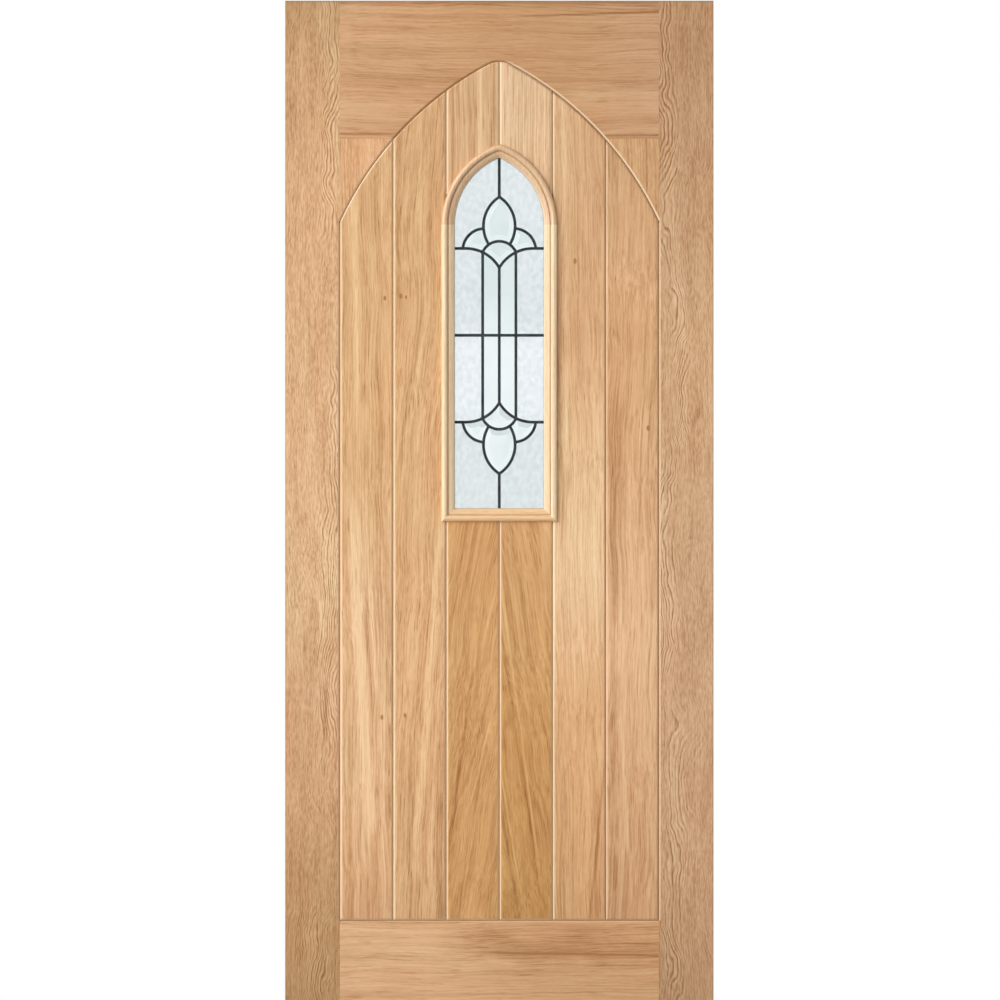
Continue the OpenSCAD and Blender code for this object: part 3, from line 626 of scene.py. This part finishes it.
# How pale the groove walls are where they differ from the rest
CUTS = {"front_board_5": 0.58, "front_board_6": 0.40, "right_stile": 0.55}
# How far in from the edge of a board's face the middle of its painted highlight lies, in mm
ARRIS_HIGHLIGHT_IN = 0.6
# Seeds, so that no two pieces share their grain
STILE_SEED = 1
RAIL_SEED = 11
FRONT_SEED = 21
BACK_SEED = 41
BEAD_SEED = 71
CORE_SEED = 81
DOWEL_SEED = 82
# How much the beads shine
BEAD_SHINE = 0.5
ARCH_BEAD_SHINE = 0.9


def lit_arris(node, hand):
    """Where the face of a board ends on its lit side, where its painted highlight runs, in mm: on the
    left as one looks at that face.
    """
    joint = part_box(node)[0].x + (0.0 if hand > 0 else BOARD_PITCH)
    return (joint + hand * GROOVE_DEPTH) / MM + ARRIS_HIGHLIGHT_IN * hand


def dress_wood():
    """The finish of the stiles, spandrels, rails, boards and beads, and of the core and dowels."""
    upright = {**STILES, **SPANDRELS}
    for seed, (node, oak) in enumerate(upright.items(), start=STILE_SEED):
        dress(node, oak_material("oak " + node, oak, seed, cut=CUTS.get(node, GROOVE_CUT)))
    for seed, (node, oak) in enumerate(RAILS.items(), start=RAIL_SEED):
        dress(node, oak_material("oak " + node, oak, seed, level=True, cut=LEVEL_CUT))
    for first, hand, face in [(FRONT_SEED, 1, "front"), (BACK_SEED, -1, "back")]:
        for seed, (board, oak) in enumerate(BOARDS.items(), start=first):
            node = f"{face}_board_{board}"
            wood = oak_material(f"oak {face} board {board}", oak, seed, hand=hand,
                                cut=CUTS.get(node, GROOVE_CUT), arris_highlight=[lit_arris(node, hand)])
            dress(node, wood)
    for seed, (face, hand) in enumerate([("front", 1), ("back", -1)], start=BEAD_SEED):
        for bead, oak in BEADS.items():
            level = bead == "sill"
            wood = oak_material(f"oak {face} bead {bead}", oak, seed, level=level, hand=hand,
                                shine=ARCH_BEAD_SHINE if bead == "arch" else BEAD_SHINE,
                                cut=LEVEL_CUT if level else GROOVE_CUT)
            dress(f"{face}_bead_{bead}", wood)
    dress("core_panel", oak_material("oak core", HIDDEN, CORE_SEED))
    dress("dowels", oak_material("oak dowels", HIDDEN, DOWEL_SEED, level=True, cut=LEVEL_CUT))


# Glass

GLASS_IOR = 1.5
GLASS_GLINT = (0.25, 0.25, 0.25, 1.0)
# A ripple: how many per metre along X, Y and Z, its strength, and its depth in mm
STIPPLED = ((110, 110, 80), 0.5, 0.6)
CALM = ((30, 30, 30), 0.05, 0.2)
FLOATED = ((9, 9, 9), 0.05, 0.2)
# Tints: (share of the light's height, colour)
PANE_TINTS = [(0.0, "#FBFDFD"), (1.0, "#FBFDFD")]
STIPPLED_TINTS = [(0.22, "#EAEDEE"), (0.29, "#F8F8FC"), (0.46, "#F8F8FC"), (0.53, "#EAECEF"),
                  (1.0, "#EEF0F2")]
BEVELLED_TINTS = [(0.1, "#F3F7F9"), (0.47, "#F6F9FA"), (0.52, "#E5ECED"), (0.7, "#E5ECED"),
                  (0.78, "#EAF0F1")]
STRIP_TINTS = [(0.1, "#F9FBFC"), (0.47, "#FAFCFD"), (0.5, "#F2F8F8"), (0.55, "#EFF5F5"),
               (0.63, "#E8EFEF")]
# Painted highlight and shade of the bevels, by level: the tint of those that look down and that of
# those that look up
PAINTED_BEVEL_LIGHT = {"upper": ("#FCFEFE", "#E2EAE9"), "lower": ("#FCFEFE", "#C6D4D3")}


def let_lamps_through(tree, shader, tint):
    """Lamps shine through the glass as through a thin pane."""
    rays = add(tree, "LightPath").outputs
    clear = add(tree, "BsdfTransparent", {"Color": tint}).outputs[0]
    mixed = add(tree, "MixShader", {0: rays["Is Shadow Ray"], 1: shader.outputs[0], 2: clear})
    tree.links.new(mixed.outputs[0], tree.nodes["Material Output"].inputs["Surface"])


def glass_material(name, tints, mottle, ripple, roughness, bevel_light=None):
    """Glass tinted by stops up the light's height, and mottled by another colour.
    bevel_light: the painted highlight and shade of its sloping margins, the tints of those that look
    down and those that look up."""
    material, tree, shader = new_material(name)
    coords = add(tree, "TexCoord").outputs
    height = add(tree, "SeparateXYZ", {0: coords["Object"]}).outputs["Z"]
    inputs = {"Value": height, "From Min": LIGHT_FOOT, "From Max": LIGHT_HEAD}
    share = add(tree, "MapRange", inputs).outputs[0]
    colour = ramp(tree, share, [(stop, shade(code)) for stop, code in tints])
    per_metre, gain, depth = ripple
    cloud = noise(tree, coords["Object"], per_metre, 4)[0]
    colour = mix_colours(tree, fade(tree, cloud, 0.35, 0.65), colour, shade(mottle), "MULTIPLY")
    # The bevels are told by their slope: neither flat nor an edge
    if bevel_light:
        facing = add(tree, "SeparateXYZ", {0: coords["Normal"]}).outputs
        flat = maths(tree, "ABSOLUTE", facing["Y"])
        slope = maths(tree, "MULTIPLY", fade(tree, flat, 0.997, 0.99), fade(tree, flat, 0.5, 0.6))
        # Painted light: margins that look down and left take the first tint as a highlight, those that
        # look up and right the second as shade
        upward = maths(tree, "MULTIPLY_ADD", facing["X"], 0.35, facing["Z"])
        downs, ups = (shade(code) for code in bevel_light)
        margin = mix_colours(tree, fade(tree, upward, 0.04, 0.17), downs, ups)
        colour = mix_colours(tree, slope, colour, margin)
    bump = add(tree, "Bump", {"Strength": gain, "Distance": depth * MM, "Height": cloud})
    feed(tree, shader.inputs["Base Color"], colour)
    feed(tree, shader.inputs["Normal"], bump.outputs[0])
    shader.inputs["Roughness"].default_value = roughness
    shader.inputs["Transmission Weight"].default_value = 1.0
    shader.inputs["IOR"].default_value = GLASS_IOR
    shader.inputs["Specular Tint"].default_value = GLASS_GLINT
    let_lamps_through(tree, shader, shade(tints[0][1]))
    return material


def dress_glass():
    """The finish of the two panes and of the twenty pieces in the leaded panel."""
    pane = glass_material("clear float glass", PANE_TINTS, "#FDFEFE", FLOATED, roughness=0.0)
    textured = glass_material("stippled glass", STIPPLED_TINTS, "#F3F5F6", STIPPLED, roughness=0.22)
    strip = glass_material("long strip glass", STRIP_TINTS, "#FCFDFD", CALM, roughness=0.0)
    dress("front_pane", pane)
    dress("back_pane", pane)
    for level, bevel_light in PAINTED_BEVEL_LIGHT.items():
        bevelled = glass_material(f"{level} bevelled glass", BEVELLED_TINTS, "#F9FBFB", CALM,
                                  roughness=0.0, bevel_light=bevel_light)
        for hand in ["left", "right"]:
            for kind in ["corner", "flank"]:
                dress(f"glass_{level}_{hand}_{kind}", textured)
            dress(f"glass_{level}_{hand}_wing", bevelled)
            dress(f"glass_{level}_{hand}_strip", strip)
        for kind in ["petal", "dome"]:
            dress(f"glass_{level}_{kind}", bevelled)


# Metal and seals

def plain_material(name, codes, per_metre, roughness, metallic=0.0, specular=0.3):
    """A finish that drifts between two colours and two roughnesses, with a fine surface."""
    material, tree, shader = new_material(name)
    place = add(tree, "TexCoord").outputs["Object"]
    cloud = noise(tree, place, per_metre, 3)[0]
    drift = fade(tree, cloud, 0.3, 0.7)
    first, second = (shade(code) for code in codes)
    feed(tree, shader.inputs["Base Color"], mix_colours(tree, drift, first, second))
    low, high = roughness
    feed(tree, shader.inputs["Roughness"], maths(tree, "MULTIPLY_ADD", drift, high - low, low))
    bump = add(tree, "Bump", {"Strength": 0.3, "Distance": 0.1 * MM, "Height": cloud})
    feed(tree, shader.inputs["Normal"], bump.outputs[0])
    shader.inputs["Metallic"].default_value = metallic
    shader.inputs["Specular IOR Level"].default_value = specular
    return material


def dress_fittings():
    """The finish of the cames and of what holds the glass."""
    came = plain_material("dark zinc came", ("#12191B", "#1D2729"), (60, 60, 60),
                          roughness=(0.5, 0.7), specular=0.1)
    spacer = plain_material("spacer aluminium", ("#8C9296", "#9AA0A3"), (200, 200, 200),
                            roughness=(0.35, 0.5), metallic=0.8)
    seal = plain_material("edge seal", ("#232527", "#2E3133"), (90, 90, 90), roughness=(0.6, 0.8))
    tape = plain_material("glazing tape", ("#E4DFD3", "#EDE9DF"), (120, 120, 120),
                          roughness=(0.7, 0.9))
    dress("came_lattice", came)
    dress("spacer_bars", spacer)
    dress("edge_seal", seal)
    dress("setting_blocks", seal)
    dress("glazing_tapes", tape)


# Floor, light and camera

WHITE = (1.0, 1.0, 1.0, 1.0)
FLOOR_RADIUS = 1.25
FLOOR_WHITES = (shade("#F4F4F3"), shade("#FAFAFA"))
# What colour the floor throws back on the leaf, and how far its white is lifted where it is seen
FLOOR_BOUNCE = shade("#9B9996")
FLOOR_GLOW = 0.3
# Strength of the even light and of the two suns, and where these come from
FILL = 0.40
KEY = 2.93
BACK_KEY = 2.1
KEY_FROM = (-0.68, -0.66, 0.27)
BACK_FROM = (0.45, 0.75, 0.42)
SOFTNESS = math.radians(60)
# The photograph is a square of this side, centred on this point of the leaf
VIEW_SIDE = 1.957
VIEW_CENTRE = (0.0014, 1.0042)
CAMERA_FAR = 50.0


def looked_at(tree):
    """1 for what the camera sees, straight or by gloss or glass."""
    rays = add(tree, "LightPath").outputs
    seen = maths(tree, "MAXIMUM", rays["Is Camera Ray"], rays["Is Glossy Ray"])
    return maths(tree, "MAXIMUM", seen, rays["Is Transmission Ray"])


def make_floor():
    """A white floor that keeps the leaf's shadow."""
    bpy.ops.object.select_all(action="DESELECT")
    bpy.ops.mesh.primitive_circle_add(vertices=128, radius=FLOOR_RADIUS, fill_type="NGON")
    floor = bpy.context.object
    floor.name = "floor"
    material, tree, shader = new_material("white floor")
    place = add(tree, "TexCoord").outputs["Object"]
    cloud = noise(tree, place, (3, 3, 3), 2)[0]
    white = mix_colours(tree, cloud, *FLOOR_WHITES)
    seen = looked_at(tree)
    feed(tree, shader.inputs["Base Color"], mix_colours(tree, seen, FLOOR_BOUNCE, white))
    feed(tree, shader.inputs["Emission Strength"], maths(tree, "MULTIPLY", seen, FLOOR_GLOW))
    shader.inputs["Emission Color"].default_value = WHITE
    shader.inputs["Roughness"].default_value = 0.9
    shader.inputs["Specular IOR Level"].default_value = 0.1
    floor.data.materials.append(material)


def make_sun(name, strength, come_from):
    """A wide, soft lamp."""
    lamp = bpy.data.lights.new(name, "SUN")
    lamp.energy = strength
    lamp.angle = SOFTNESS
    sun = bpy.data.objects.new(name, lamp)
    bpy.context.scene.collection.objects.link(sun)
    sun.rotation_mode = "QUATERNION"
    sun.rotation_quaternion = Vector(come_from).to_track_quat("Z", "Y")


def make_world():
    """A white room: plain fill light on the leaf, and white where the camera, gloss or glass looks."""
    world = bpy.data.worlds.new("white room")
    world.use_nodes = True
    bpy.context.scene.world = world
    tree = world.node_tree
    background = tree.nodes["Background"]
    background.inputs["Color"].default_value = WHITE
    strength = maths(tree, "MULTIPLY_ADD", looked_at(tree), 1.0 - FILL, FILL)
    feed(tree, background.inputs["Strength"], strength)


def make_camera():
    """Square on to the front and far away, as the photograph is."""
    lens = bpy.data.cameras.new("camera")
    lens.sensor_width = 36.0
    lens.lens = lens.sensor_width * CAMERA_FAR / VIEW_SIDE
    lens.clip_end = 2 * CAMERA_FAR
    camera = bpy.data.objects.new("camera", lens)
    bpy.context.scene.collection.objects.link(camera)
    camera.location = (VIEW_CENTRE[0], -CAMERA_FAR, VIEW_CENTRE[1])
    camera.rotation_euler = (math.pi / 2, 0.0, 0.0)
    bpy.context.scene.camera = camera


dress_wood()
dress_glass()
dress_fittings()
make_floor()
make_sun("key", KEY, KEY_FROM)
make_sun("back key", BACK_KEY, BACK_FROM)
make_world()
make_camera()
bpy.context.scene.view_settings.view_transform = "Standard"
